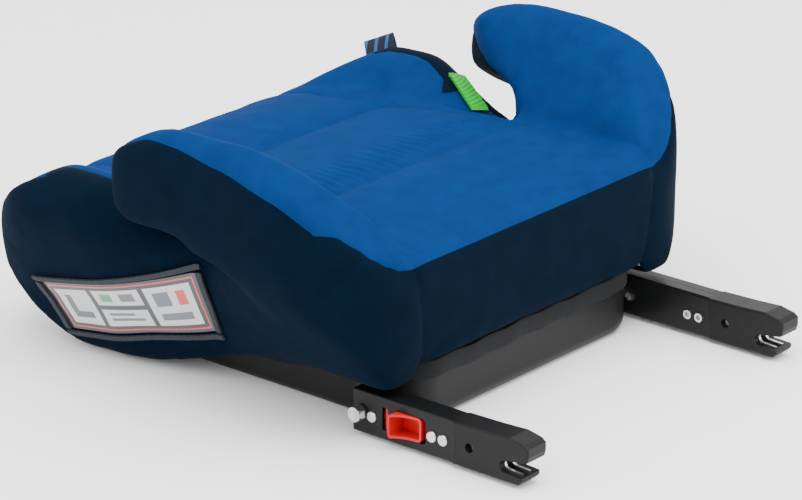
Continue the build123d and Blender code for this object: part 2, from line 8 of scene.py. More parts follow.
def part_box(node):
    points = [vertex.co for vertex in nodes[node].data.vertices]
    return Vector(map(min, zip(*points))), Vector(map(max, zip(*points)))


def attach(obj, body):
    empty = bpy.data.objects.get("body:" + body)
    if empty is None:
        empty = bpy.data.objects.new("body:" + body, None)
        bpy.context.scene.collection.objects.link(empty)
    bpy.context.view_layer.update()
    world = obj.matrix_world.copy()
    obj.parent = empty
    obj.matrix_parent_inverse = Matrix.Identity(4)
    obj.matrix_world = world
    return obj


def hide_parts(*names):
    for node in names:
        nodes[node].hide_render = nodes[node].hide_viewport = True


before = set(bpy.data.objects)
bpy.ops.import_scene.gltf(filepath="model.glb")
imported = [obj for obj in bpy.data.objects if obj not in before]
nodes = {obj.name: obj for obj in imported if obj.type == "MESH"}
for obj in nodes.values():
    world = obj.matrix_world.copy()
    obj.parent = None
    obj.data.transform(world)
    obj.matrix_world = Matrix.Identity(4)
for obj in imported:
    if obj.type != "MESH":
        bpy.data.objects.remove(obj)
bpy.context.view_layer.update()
bpy.ops.object.select_all(action="DESELECT")


# ------------------------------------------------------------ camera, floor and light
# A long lens looks down on the rear left corner. The floor is a plain pale sheet, and the
# light is a large soft box overhead with two fainter ones beside it.

bpy.ops.object.camera_add(location=(1.97747, 1.66670, 1.05252),
                          rotation=(math.radians(69.117), 0, math.radians(130.152)))
camera = bpy.context.object
camera.data.lens = 179.55
camera.data.sensor_width = 36
camera.data.clip_end = 50
bpy.context.scene.camera = camera

bpy.ops.mesh.primitive_plane_add(size=30, location=(0, 0, 0))
floor = bpy.context.object
floor.name = "studio_floor"
floor_paint = bpy.data.materials.new("pale_floor")
floor_paint.use_nodes = True
floor_paint.node_tree.nodes["Principled BSDF"].inputs["Base Color"].default_value = (1, 1, 1, 1)
floor_paint.node_tree.nodes["Principled BSDF"].inputs["Roughness"].default_value = 0.9
floor_paint.node_tree.nodes["Principled BSDF"].inputs["Specular IOR Level"].default_value = 0.1
floor.data.materials.append(floor_paint)

world = bpy.data.worlds.new("studio")
bpy.context.scene.world = world
world.use_nodes = True
world.node_tree.nodes["Background"].inputs["Color"].default_value = (1, 1, 1, 1)
world.node_tree.nodes["Background"].inputs["Strength"].default_value = 1.95

for place, aim, size, power in (((0.3, 0.5, 2.4), (0, 0, 0.1), 2.2, 84),
                                ((-1.6, 2.0, 1.2), (0, 0, 0.1), 1.4, 20),
                                ((2.2, -0.8, 1.4), (0, 0, 0.1), 1.4, 13)):
    bpy.ops.object.light_add(type="AREA", location=place)
    lamp = bpy.context.object
    lamp.data.size = size
    lamp.data.energy = power
    lamp.rotation_euler = (Vector(aim) - Vector(place)).to_track_quat("-Z", "Y").to_euler()


# ------------------------------------------------------------ form of the fabric cover
# The cover is one tight skin over foam. It is made as a single form on the foam's outline,
# puffed by cloth simulation between its seams, and then cut along the seams into its panels.

def closed_copy(title, names):
    """One closed form made from copies of the named CAD solids."""
    bpy.ops.object.select_all(action="DESELECT")
    for name in names:
        part = bpy.data.objects.new(title, nodes[name].data.copy())
        bpy.context.scene.collection.objects.link(part)
        part.select_set(True)
        bpy.context.view_layer.objects.active = part
    if len(names) > 1:
        bpy.ops.object.join()
    form = bpy.context.view_layer.objects.active
    form.name = title
    bpy.ops.object.mode_set(mode="EDIT")
    bpy.ops.mesh.select_all(action="SELECT")
    bpy.ops.mesh.remove_doubles(threshold=1e-5)
    bpy.ops.object.mode_set(mode="OBJECT")
    return form


def finish_modifier(form, kind, **settings):
    """Adds one modifier and applies it."""
    bpy.ops.object.select_all(action="DESELECT")
    form.select_set(True)
    bpy.context.view_layer.objects.active = form
    modifier = form.modifiers.new(kind.title(), kind)
    for setting, value in settings.items():
        setattr(modifier, setting, value)
    bpy.ops.object.modifier_apply(modifier=modifier.name)


def drop_loose_bits(form):
    """Keeps only the largest connected surface of a form."""
    mesh = bmesh.new()
    mesh.from_mesh(form.data)
    unseen = set(mesh.verts)
    islands = []
    while unseen:
        start = unseen.pop()
        island, edge_of_island = {start}, [start]
        while edge_of_island:
            for edge in edge_of_island.pop().link_edges:
                for vert in edge.verts:
                    if vert in unseen:
                        unseen.discard(vert)
                        island.add(vert)
                        edge_of_island.append(vert)
        islands.append(island)
    largest = max(islands, key=len)
    bmesh.ops.delete(mesh, geom=[v for v in mesh.verts if v not in largest], context="VERTS")
    mesh.to_mesh(form.data)
    mesh.free()


def along(points, value):
    """The height at value of a line through (place, height) points in order."""
    if value <= points[0][0]:
        return points[0][1]
    for (place_a, height_a), (place_b, height_b) in zip(points, points[1:]):
        if value <= place_b:
            share = (value - place_a) / (place_b - place_a)
            share = share * share * (3 - 2 * share) * 0.4 + share * 0.6
            return height_a + (height_b - height_a) * share
    return points[-1][1]


# Where the seams run. Each function is zero on its seam and about the distance from it elsewhere.
armrest_seam_x = [(-0.095, 0.187), (-0.057, 0.190), (-0.030, 0.195), (0.010, 0.199), (0.056, 0.199),
                  (0.092, 0.191)]
armrest_seam_z = [(-0.095, 0.158), (-0.080, 0.173), (-0.057, 0.184), (-0.030, 0.187), (0.010, 0.183),
                  (0.056, 0.170), (0.092, 0.152), (0.110, 0.142)]
bolster_seam_z = [(-0.219, 0.086), (-0.205, 0.105), (-0.186, 0.121), (-0.158, 0.131), (-0.132, 0.1355),
                  (-0.107, 0.134), (-0.080, 0.126), (-0.055, 0.118), (-0.036, 0.114)]
bolster_seam_x = [(-0.107, 0.180), (-0.080, 0.173), (-0.055, 0.163), (-0.036, 0.157)]
rear_seam = [(0.100, -0.0015), (0.129, -0.0015), (0.140, -0.005), (0.150, -0.012), (0.160, -0.023),
             (0.170, -0.039), (0.180, -0.056), (0.190, -0.066)]


def above_gap(y, z):
    """Whether a point is on the armrest rather than on the bolster below it."""
    return y > -0.017 or z > 0.1185 - 0.10 * (y + 0.017)


def navy_side(place):
    """More than zero on the navy panels, less on the bright ones."""
    across, y, z = abs(place.x), place.y, place.z
    if above_gap(y, z):
        outer = (across - along(armrest_seam_x, y)) - (z - along(armrest_seam_z, y))
    else:
        outer = (across - along(bolster_seam_x, y)) - (z - along(bolster_seam_z, y))
    rear = (y - z) - along(rear_seam, across)
    return max(outer, rear) / math.sqrt(2)


def long_seam(place):
    """Less than zero on the middle of the seat, more on the strips beside it."""
    return abs(place.x) - (0.1185 + 0.086 * place.y)


def rear_side_seam(place):
    """Less than zero on the rear panel, more on the sides."""
    return abs(place.x) - (0.119 + 0.13 * (place.z - 0.047))


rear_cross_y, front_cross_y = 0.005, -0.111
under_z = 0.030


def groove_at(place):
    """How far the sewing pulls the skin in at a place: deep at the quilting, slight at the edges."""
    navy = navy_side(place)
    middle = long_seam(place)
    pull = 0.0013 * math.exp(-abs(navy) / 0.0022)
    if navy < 0 and place.z > 0.07:
        pull += 0.0030 * math.exp(-abs(middle) / 0.007) * min(1, -navy / 0.01)
        if middle < 0:
            fade = min(1, -middle / 0.004)
            for cross in (rear_cross_y, front_cross_y):
                pull += 0.0032 * math.exp(-abs(place.y - cross) / 0.008) * (0.35 + 0.65 * fade)
    if navy > 0 and place.y > 0.09:
        pull += 0.0012 * math.exp(-abs(rear_side_seam(place)) / 0.003)
    return pull


def wrinkle_at(place):
    """Small gathers where the armrest meets the belt gap, and slow unevenness elsewhere."""
    spot = Vector(place)
    height = 0.0007 * noise.noise(spot * 28)
    height += 0.00035 * noise.noise(Vector((spot.x * 60, spot.y * 24, spot.z * 24)))
    reach = math.hypot(place.y + 0.016, place.z - 0.123)
    gather = math.exp(-(reach / 0.016) ** 2)
    height += 0.0011 * gather * math.sin(abs(place.x) * 2 * math.pi / 0.0085 + 3 * noise.noise(spot * 40))
    return height


cover_nodes = ["cover_seat", "seat_pad", "seat_core", "cover_rear"]
for side in ("left", "right"):
    cover_nodes += [f"{part}_{side}" for part in ("cover_side", "side_core", "cover_armrest", "armrest_core")]
skin = closed_copy("cover_form", cover_nodes)
finish_modifier(skin, "REMESH", mode="VOXEL", voxel_size=0.004)
drop_loose_bits(skin)
finish_modifier(skin, "SMOOTH", factor=0.5, iterations=14)


def in_base_recess(place):
    """Whether a place is in the recess that the base tray fills."""
    return abs(place.x) < 0.1290 and -0.169 < place.y < 0.1130 and place.z < 0.064


held = skin.vertex_groups.new(name="held")
for vert in skin.data.vertices:
    place = vert.co
    near_seam = min(abs(navy_side(place)), abs(long_seam(place)) if place.z > 0.07 else 1)
    if navy_side(place) < 0 and long_seam(place) < 0:
        near_seam = min(near_seam, abs(place.y - rear_cross_y), abs(place.y - front_cross_y))
    if near_seam < 0.0035 or place.z < under_z or in_base_recess(place):
        held.add([vert.index], 1.0, "REPLACE")

cloth_frames = 20
before = [vert.co.copy() for vert in skin.data.vertices]
bpy.ops.object.select_all(action="DESELECT")
skin.select_set(True)
bpy.context.view_layer.objects.active = skin
cloth = skin.modifiers.new("Cloth", "CLOTH")
cloth.settings.quality = 4
cloth.settings.use_pressure = True
cloth.settings.uniform_pressure_force = 4
cloth.settings.effector_weights.gravity = 0
cloth.settings.vertex_group_mass = "held"
cloth.collision_settings.use_collision = False
cloth.point_cache.frame_start = 1
cloth.point_cache.frame_end = cloth_frames
for step in range(1, cloth_frames + 1):
    bpy.context.scene.frame_set(step)
bpy.ops.object.modifier_apply(modifier="Cloth")
bpy.context.scene.frame_set(1)
most = 0.005
for vert, start in zip(skin.data.vertices, before):
    moved = vert.co - start
    if moved.length > 1e-9:
        vert.co = start + moved * (most * math.tanh(moved.length / most) / moved.length)
finish_modifier(skin, "SMOOTH", factor=0.5, iterations=3)
finish_modifier(skin, "SUBSURF", levels=1, render_levels=1)

moves = []
for vert in skin.data.vertices:
    place = vert.co
    if in_base_recess(place):
        moves.append(Vector((0, 0, 0)))
    else:
        moves.append(vert.normal * (0.0012 + wrinkle_at(place) - groove_at(place)))
for vert, move in zip(skin.data.vertices, moves):
    vert.co += move
    vert.co.z = max(vert.co.z, 0.0005)


# ------------------------------------------------------------ cutting the panels
# The skin is split exactly along each seam line, and every panel becomes a piece of its own,
# 2.2 mm thick: knitted fabric on a thin foam backing.

def split_along(mesh, seam, wanted):
    """Splits the faces of a mesh where seam is zero, among the faces that wanted picks."""
    snap = 0.0002
    value = {}
    for vert in mesh.verts:
        height = seam(vert.co)
        value[vert] = 0.0 if abs(height) < snap else height
    for edge in list(mesh.edges):
        first, second = edge.verts
        if value[first] * value[second] < 0 and any(wanted(face) for face in edge.link_faces):
            share = value[first] / (value[first] - value[second])
            middle = bmesh.utils.edge_split(edge, first, share)[1]
            value[middle] = 0.0
    mesh.faces.ensure_lookup_table()
    for face in list(mesh.faces):
        if not wanted(face):
            continue
        on_seam = [vert for vert in face.verts if value[vert] == 0.0]
        sides = {value[vert] > 0 for vert in face.verts if value[vert] != 0.0}
        if len(on_seam) >= 2 and len(sides) == 2:
            count = len(face.verts)
            order = {vert: index for index, vert in enumerate(face.verts)}
            first = on_seam[0]
            for second in on_seam[1:]:
                if abs(order[first] - order[second]) not in (1, count - 1):
                    bmesh.utils.face_split(face, first, second)
                    break


mesh = bmesh.new()
mesh.from_mesh(skin.data)
hidden = [face for face in mesh.faces if in_base_recess(face.calc_center_median())]
bmesh.ops.delete(mesh, geom=hidden, context="FACES")
split_along(mesh, navy_side, lambda face: True)


def is_bright(face):
    return navy_side(face.calc_center_median()) < 0


def is_middle(face):
    centre = face.calc_center_median()
    return navy_side(centre) < 0 and long_seam(centre) < 0


def is_rear(face):
    centre = face.calc_center_median()
    return navy_side(centre) > 0 and centre.y > 0.085


split_along(mesh, long_seam, is_bright)
split_along(mesh, lambda place: place.y - rear_cross_y, is_middle)
split_along(mesh, lambda place: place.y - front_cross_y, is_middle)
split_along(mesh, rear_side_seam, is_rear)


def panel_of(face):
    """The name of the panel that a face belongs to."""
    centre = face.calc_center_median()
    side = "left" if centre.x > 0 else "right"
    if navy_side(centre) > 0:
        if centre.y > 0.085 and rear_side_seam(centre) < 0:
            return "rear_panel"
        return f"side_panel_{side}"
    if long_seam(centre) > 0:
        return f"armrest_strip_{side}"
    if centre.y > rear_cross_y:
        return "seat_panel_rear"
    return "seat_panel_middle" if centre.y > front_cross_y else "seat_panel_front"


panel_names = ["seat_panel_front", "seat_panel_middle", "seat_panel_rear", "armrest_strip_left",
               "armrest_strip_right", "side_panel_left", "side_panel_right", "rear_panel"]
for face in mesh.faces:
    face.material_index = panel_names.index(panel_of(face))
mesh.to_mesh(skin.data)
mesh.free()



def piece_from(title, form):
    """A new piece made from a finished bmesh form."""
    mesh = bpy.data.meshes.new(title)
    form.to_mesh(mesh)
    form.free()
    piece = bpy.data.objects.new(title, mesh)
    bpy.context.scene.collection.objects.link(piece)
    return piece


def smooth_by_angle(piece, degrees):
    """Shades a piece smooth except where its faces meet at more than an angle."""
    bpy.ops.object.select_all(action="DESELECT")
    piece.select_set(True)
    bpy.context.view_layer.objects.active = piece
    bpy.ops.object.shade_smooth_by_angle(angle=math.radians(degrees))


panel_thickness = 0.0022
panels = {}
for index, name in enumerate(panel_names):
    cut = bmesh.new()
    cut.from_mesh(skin.data)
    bmesh.ops.delete(cut, geom=[face for face in cut.faces if face.material_index != index], context="FACES")
    for face in cut.faces:
        face.material_index = 0
        face.smooth = True
    panel = piece_from(name, cut)
    finish_modifier(panel, "SOLIDIFY", thickness=panel_thickness, offset=-1, use_even_offset=False)
    smooth_by_angle(panel, 50)
    panels[name] = panel
bpy.data.objects.remove(skin)


def knitted(title, deep, bright, sheen):
    """Fine knitted fabric: small stitches, slow change of tone and a faint sheen."""
    paint = bpy.data.materials.new(title)
    paint.use_nodes = True
    tree = paint.node_tree
    surface = tree.nodes["Principled BSDF"]
    surface.inputs["Roughness"].default_value = 0.88
    surface.inputs["Specular IOR Level"].default_value = 0.03
    surface.inputs["Sheen Weight"].default_value = sheen
    surface.inputs["Sheen Roughness"].default_value = 0.45
    surface.inputs["Sheen Tint"].default_value = (0.45, 0.65, 0.95, 1)
    where = tree.nodes.new("ShaderNodeTexCoord")
    stitches = tree.nodes.new("ShaderNodeTexVoronoi")
    stitches.inputs["Scale"].default_value = 850
    fuzz = tree.nodes.new("ShaderNodeTexNoise")
    fuzz.inputs["Scale"].default_value = 1400
    fuzz.inputs["Detail"].default_value = 2
    slow = tree.nodes.new("ShaderNodeTexNoise")
    slow.inputs["Scale"].default_value = 60
    slow.inputs["Detail"].default_value = 2
    for texture in (stitches, fuzz, slow):
        tree.links.new(where.outputs["Object"], texture.inputs["Vector"])
    height = tree.nodes.new("ShaderNodeMath")
    height.operation = "ADD"
    tree.links.new(stitches.outputs["Distance"], height.inputs[0])
    tree.links.new(fuzz.outputs["Fac"], height.inputs[1])
    bump = tree.nodes.new("ShaderNodeBump")
    bump.inputs["Strength"].default_value = 0.4
    bump.inputs["Distance"].default_value = 0.00016
    tree.links.new(height.outputs[0], bump.inputs["Height"])
    tree.links.new(bump.outputs["Normal"], surface.inputs["Normal"])
    tone = tree.nodes.new("ShaderNodeMath")
    tone.operation = "MULTIPLY_ADD"
    tone.inputs[1].default_value = 0.25
    tree.links.new(height.outputs[0], tone.inputs[0])
    tree.links.new(slow.outputs["Fac"], tone.inputs[2])
    colour = tree.nodes.new("ShaderNodeValToRGB")
    colour.color_ramp.elements[0].position = 0.45
    colour.color_ramp.elements[0].color = (*deep, 1)
    colour.color_ramp.elements[1].position = 0.95
    colour.color_ramp.elements[1].color = (*bright, 1)
    tree.links.new(tone.outputs[0], colour.inputs["Fac"])
    tree.links.new(colour.outputs["Color"], surface.inputs["Base Color"])
    return paint


bright_knit = knitted("bright_blue_knit", (0.0004, 0.0200, 0.092), (0.0006, 0.0260, 0.114), 0.01)
navy_knit = knitted("navy_knit", (0.0006, 0.0042, 0.0105), (0.0009, 0.0055, 0.0140), 0.01)

stands_for = {
    "seat_panel_front": [], "seat_panel_middle": ["cover_seat"], "seat_panel_rear": [],
    "armrest_strip_left": ["cover_armrest_left"], "armrest_strip_right": ["cover_armrest_right"],
    "side_panel_left": ["cover_side_left"], "side_panel_right": ["cover_side_right"],
    "rear_panel": ["cover_rear"]}
for name, panel in panels.items():
    navy = name.startswith(("side", "rear"))
    panel.data.materials.clear()
    panel.data.materials.append(navy_knit if navy else bright_knit)
    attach(panel, "seat")
    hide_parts(*stands_for[name])


# ------------------------------------------------------------ foam inside the cover
# Moulded polyurethane foam fills the seat, the sides and the armrests, with a softer pad on
# the seat. Each block is rounded at its edges and sits just under the cover.

foam_paint = bpy.data.materials.new("grey_foam")
foam_paint.use_nodes = True
foam_tree = foam_paint.node_tree
foam_surface = foam_tree.nodes["Principled BSDF"]
foam_surface.inputs["Roughness"].default_value = 0.95
foam_where = foam_tree.nodes.new("ShaderNodeTexCoord")
foam_cells = foam_tree.nodes.new("ShaderNodeTexVoronoi")
foam_cells.inputs["Scale"].default_value = 700
foam_tone = foam_tree.nodes.new("ShaderNodeValToRGB")
foam_tone.color_ramp.elements[0].color = (0.16, 0.16, 0.17, 1)
foam_tone.color_ramp.elements[1].color = (0.42, 0.42, 0.43, 1)
foam_bump = foam_tree.nodes.new("ShaderNodeBump")
foam_bump.inputs["Distance"].default_value = 0.0004
foam_tree.links.new(foam_where.outputs["Object"], foam_cells.inputs["Vector"])
foam_tree.links.new(foam_cells.outputs["Distance"], foam_tone.inputs["Fac"])
foam_tree.links.new(foam_cells.outputs["Distance"], foam_bump.inputs["Height"])
foam_tree.links.new(foam_tone.outputs["Color"], foam_surface.inputs["Base Color"])
foam_tree.links.new(foam_bump.outputs["Normal"], foam_surface.inputs["Normal"])

for node, title, slot_name in (("seat_core", "seat_foam", "foam_core"),
                               ("seat_pad", "seat_soft_pad", "pad_foam"),
                               ("side_core_left", "side_foam_left", "foam_core"),
                               ("side_core_right", "side_foam_right", "foam_core"),
                               ("armrest_core_left", "armrest_foam_left", "foam_core"),
                               ("armrest_core_right", "armrest_foam_right", "foam_core")):
    block = closed_copy(title, [node])
    finish_modifier(block, "REMESH", mode="VOXEL", voxel_size=0.005 if node != "seat_pad" else 0.003)
    drop_loose_bits(block)
    finish_modifier(block, "SMOOTH", factor=0.5, iterations=6)
    finish_modifier(block, "DISPLACE", strength=-panel_thickness, mid_level=0)
    smooth_by_angle(block, 60)
    block.data.materials.clear()
    block.data.materials.append(foam_paint)
    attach(block, "seat")
    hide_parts(node)


# ------------------------------------------------------------ elastic hem
# A black elastic band closes the cover over the tray: along the rear and round both rear
# corners. It is stretched between the sides and lapped once near the middle.

tray_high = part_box("base_shell")[1]
hem_bottom, hem_top = 0.0335, 0.0467
hem_out = 0.0014
corner = 0.028
lap_start, lap_rise = 0.012, 0.0010
rear_y = tray_high[1] + hem_out
corner_x, corner_y = tray_high[0] - corner, tray_high[1] - corner
quarter = [math.radians(90 * step / 8) for step in range(9)]
hem_path = [(-corner_x - (corner + hem_out) * math.cos(turn), corner_y + (corner + hem_out) * math.sin(turn))
            for turn in quarter]
hem_path += [(-corner_x + 2 * corner_x * step / 48, rear_y) for step in range(1, 48)]
hem_path += [(corner_x + (corner + hem_out) * math.sin(turn), corner_y + (corner + hem_out) * math.cos(turn))
             for turn in quarter]
band = bmesh.new()
rows = []
for x, y in hem_path:
    lap = lap_rise / (1 + math.exp(-(x - lap_start) / 0.0012)) if y > rear_y - 0.001 else 0
    wave = 0.0006 * math.sin(x * 170) + 0.0003 * math.sin(x * 61 + 1)
    row = []
    for level in range(5):
        share = level / 4
        bulge = 0.0006 * math.sin(math.pi * share) + lap
        row.append(band.verts.new((x, y + bulge, hem_bottom + wave + (hem_top - hem_bottom) * share)))
    rows.append(row)


def bridge_rows(form, rows):
    """Faces between neighbouring rows of points."""
    for first, second in zip(rows, rows[1:]):
        for index in range(len(first) - 1):
            form.faces.new((first[index], first[index + 1], second[index + 1], second[index]))
    bmesh.ops.recalc_face_normals(form, faces=form.faces[:])


bridge_rows(band, rows)
hem = piece_from("elastic_hem", band)
finish_modifier(hem, "SOLIDIFY", thickness=0.0011, offset=0)
finish_modifier(hem, "SUBSURF", levels=1, render_levels=1)
smooth_by_angle(hem, 60)


def ribbed(title, dark, light, pitch, rough):
    """Woven tape: fine ribs across its length and a little unevenness."""
    paint = bpy.data.materials.new(title)
    paint.use_nodes = True
    tree = paint.node_tree
    surface = tree.nodes["Principled BSDF"]
    surface.inputs["Roughness"].default_value = rough
    surface.inputs["Specular IOR Level"].default_value = 0.25
    where = tree.nodes.new("ShaderNodeTexCoord")
    ribs = tree.nodes.new("ShaderNodeTexWave")
    ribs.bands_direction = "Z"
    ribs.inputs["Scale"].default_value = 0.314159 / pitch
    ribs.inputs["Distortion"].default_value = 0.6
    uneven = tree.nodes.new("ShaderNodeTexNoise")
    uneven.inputs["Scale"].default_value = 240
    for texture in (ribs, uneven):
        tree.links.new(where.outputs["Object"], texture.inputs["Vector"])
    height = tree.nodes.new("ShaderNodeMath")
    height.operation = "ADD"
    tree.links.new(ribs.outputs["Fac"], height.inputs[0])
    tree.links.new(uneven.outputs["Fac"], height.inputs[1])
    bump = tree.nodes.new("ShaderNodeBump")
    bump.inputs["Strength"].default_value = 0.6
    bump.inputs["Distance"].default_value = 0.0003
    tree.links.new(height.outputs[0], bump.inputs["Height"])
    tree.links.new(bump.outputs["Normal"], surface.inputs["Normal"])
    colour = tree.nodes.new("ShaderNodeValToRGB")
    colour.color_ramp.elements[0].position = 0.5
    colour.color_ramp.elements[0].color = (*dark, 1)
    colour.color_ramp.elements[1].position = 1.4 / 1.5
    colour.color_ramp.elements[1].color = (*light, 1)
    tree.links.new(height.outputs[0], colour.inputs["Fac"])
    tree.links.new(colour.outputs["Color"], surface.inputs["Base Color"])
    return paint


elastic = ribbed("black_elastic", (0.002, 0.0025, 0.003), (0.005, 0.006, 0.008), 0.0017, 0.85)
hem.data.materials.append(elastic)
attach(hem, "seat")
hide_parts("hem_elastic")


# ------------------------------------------------------------ ribbons and tag
# Two green ribbons mark the belt path, folded over and sewn into the side seams, and a woven
# tag is folded in half and sewn into the outer seam of the right bolster.

def resting_height(side, x, y):
    """The height of the top of the cover at a place below the armrest, on one side."""
    heights = []
    start = Vector((x, y, 0.139 if y > -0.09 else 0.17))
    for panel in (panels[f"side_panel_{side}"], panels[f"armrest_strip_{side}"]):
        found, spot, _, _ = panel.ray_cast(start, Vector((0, 0, -1)))
        if found:
            heights.append(spot.z)
    return max(heights) if heights else 0.115


def ribbon(title, start, end, width, side):
    """A ribbon laid on the cover from start to end and folded back on itself at the end."""
    lift, arch_height, layer_gap, layers, steps = 0.0022, 0.0016, 0.0016, 2, 24
    length = math.hypot(end[0] - start[0], end[1] - start[1])
    across = Vector((end[1] - start[1], start[0] - end[0])) / length * width / 2
    strip = bmesh.new()
    rows = []
    for step in range(steps * layers + 1):
        share = step / steps
        layer = min(int(share), layers - 1)
        run = share - layer if layer % 2 == 0 else 1 - (share - layer)
        rise = lift + arch_height * math.sin(math.pi * run) + layer_gap * (layers - layer - 1)
        row = []
        for edge in (-1, -0.5, 0, 0.5, 1):
            x = start[0] + (end[0] - start[0]) * run + across.x * edge
            y = start[1] + (end[1] - start[1]) * run + across.y * edge
            row.append(strip.verts.new((x, y, resting_height(side, x, y) + rise)))
        rows.append(row)
    bridge_rows(strip, rows)
    for _ in range(2):
        bmesh.ops.smooth_vert(strip, verts=strip.verts[:], factor=0.5, use_axis_z=True)
    tape = piece_from(title, strip)
    finish_modifier(tape, "SOLIDIFY", thickness=0.0009, offset=0)
    smooth_by_angle(tape, 50)
    return tape


green_tape = ribbed("green_ribbon", (0.000, 0.24, 0.008), (0.001, 0.38, 0.022), 0.0012, 0.6)
for side, sign in (("left", 1), ("right", -1)):
    tape = ribbon(f"belt_ribbon_{side}", (sign * 0.168, -0.090), (sign * 0.146, -0.050), 0.013, side)
    tape.data.materials.append(green_tape)
    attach(tape, "seat")
    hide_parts(f"belt_loop_{side}")

seam_start, seam_end = Vector((-0.1850, -0.190, 0.1190)), Vector((-0.1850, -0.162, 0.1320))
stand = Vector((-0.15, -0.40, 0.90)).normalized()
tag_height, tag_sunk, tag_opening = 0.0135, 0.001, 0.0011
fold = bmesh.new()
rows = []
for step in range(13):
    place = seam_start + (seam_end - seam_start) * (step / 12)
    row = []
    for level in range(-7, 8):
        turn = math.pi * level / 15
        rise = tag_height * math.cos(turn) - tag_sunk
        row.append(fold.verts.new(place + stand * rise + Vector((tag_opening * math.sin(turn), 0, 0))))
    rows.append(row)
bridge_rows(fold, rows)
tag = piece_from("bolster_tag", fold)
finish_modifier(tag, "SOLIDIFY", thickness=0.0007, offset=0)
smooth_by_angle(tag, 40)
tag_paint = ribbed("woven_tag_cloth", (0.003, 0.007, 0.014), (0.006, 0.012, 0.024), 0.0011, 0.7)
tag_tree = tag_paint.node_tree
stripe_where = tag_tree.nodes.new("ShaderNodeTexCoord")
stripe_split = tag_tree.nodes.new("ShaderNodeSeparateXYZ")
stripe_band = tag_tree.nodes.new("ShaderNodeMath")
stripe_band.operation = "PINGPONG"
stripe_band.inputs[1].default_value = 0.0052
stripe_edge = tag_tree.nodes.new("ShaderNodeMath")
stripe_edge.operation = "GREATER_THAN"
stripe_edge.inputs[1].default_value = 0.0036
stripe_mix = tag_tree.nodes.new("ShaderNodeMix")
stripe_mix.data_type = "RGBA"
stripe_mix.inputs[7].default_value = (0.02, 0.09, 0.24, 1)
tag_tree.links.new(stripe_where.outputs["Object"], stripe_split.inputs[0])
tag_tree.links.new(stripe_split.outputs["Y"], stripe_band.inputs[0])
tag_tree.links.new(stripe_band.outputs[0], stripe_edge.inputs[0])
tag_tree.links.new(stripe_edge.outputs[0], stripe_mix.inputs[0])
tag_tree.links.new(tag_tree.nodes["Color Ramp"].outputs["Color"], stripe_mix.inputs[6])
tag_tree.links.new(stripe_mix.outputs[2], tag_tree.nodes["Principled BSDF"].inputs["Base Color"])
tag.data.materials.append(tag_paint)
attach(tag, "seat")
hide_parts("front_tag")


# ------------------------------------------------------------ card pocket
# A pocket on the left side: a sewn binding of four strips round a printed card with a clear,
# glossy face. All of it is bent to follow the puffed side panel.

card_corners = [Vector((0.1700, -0.182, 0.0620)), Vector((0.1640, -0.034, 0.1020)),
                Vector((0.1560, -0.024, 0.0400)), Vector((0.1480, -0.165, 0.0180))]
side_panel = panels["side_panel_left"]
outward = Vector((0.88, 0.10, -0.46)).normalized()


def on_side(across, up, lift):
    """A place on the left side panel: across from the front end, up from the lower edge."""
    top = card_corners[0].lerp(card_corners[1], across)
    bottom = card_corners[3].lerp(card_corners[2], across)
    start = bottom.lerp(top, up) + outward * 0.06
    found, spot, _, _ = side_panel.ray_cast(start, -outward)
    return (spot if found else start - outward * 0.06) + outward * lift


def within(ends, share):
    """The value a share of the way from one end to the other."""
    return ends[0] + (ends[1] - ends[0]) * share


def conformed(title, across_range, up_range, lift, counts, thickness):
    """A sheet that follows the side panel over part of the pocket."""
    sheet_form = bmesh.new()
    grid = []
    for i in range(counts[0] + 1):
        across = within(across_range, i / counts[0])
        column = []
        for j in range(counts[1] + 1):
            up = within(up_range, j / counts[1])
            column.append(sheet_form.verts.new(on_side(across, up, lift)))
        grid.append(column)
    for first, second in zip(grid, grid[1:]):
        for j in range(counts[1]):
            sheet_form.faces.new((first[j], second[j], second[j + 1], first[j + 1]))
    for _ in range(4):
        bmesh.ops.smooth_vert(sheet_form, verts=sheet_form.verts[:], factor=0.5, use_axis_x=True,
                              use_axis_z=True)
    bmesh.ops.recalc_face_normals(sheet_form, faces=sheet_form.faces[:])
    uv = sheet_form.loops.layers.uv.new("flat")
    order = {vert: index for index, vert in enumerate(v for column in grid for v in column)}
    for face in sheet_form.faces:
        for loop in face.loops:
            i, j = divmod(order[loop.vert], counts[1] + 1)
            loop[uv].uv = (within(across_range, i / counts[0]), within(up_range, j / counts[1]))
    piece = piece_from(title, sheet_form)
    finish_modifier(piece, "SOLIDIFY", thickness=thickness, offset=1)
    smooth_by_angle(piece, 40)
    return piece


edge_across, edge_up = 0.032, 0.095
long_way, short_way = (60, 3), (3, 24)
strips = []
for name, across_range, up_range, counts in (
        ("lower", (0, 1), (0, edge_up), long_way),
        ("upper", (0, 1), (1 - edge_up, 1), long_way),
        ("front", (0, edge_across), (edge_up, 1 - edge_up), short_way),
        ("rear", (1 - edge_across, 1), (edge_up, 1 - edge_up), short_way)):
    strips.append(conformed(f"binding_{name}", across_range, up_range, 0.0012, counts, 0.0016))
bpy.ops.object.select_all(action="DESELECT")
for strip in strips:
    strip.select_set(True)
bpy.context.view_layer.objects.active = strips[0]
bpy.ops.object.join()
binding = bpy.context.view_layer.objects.active
binding.name = "pocket_binding"
binding.data.materials.clear()
grey_tape = ribbed("grey_binding", (0.012, 0.014, 0.018), (0.026, 0.030, 0.036), 0.0012, 0.8)
binding.data.materials.append(grey_tape)
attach(binding, "seat")
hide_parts("label_binding")

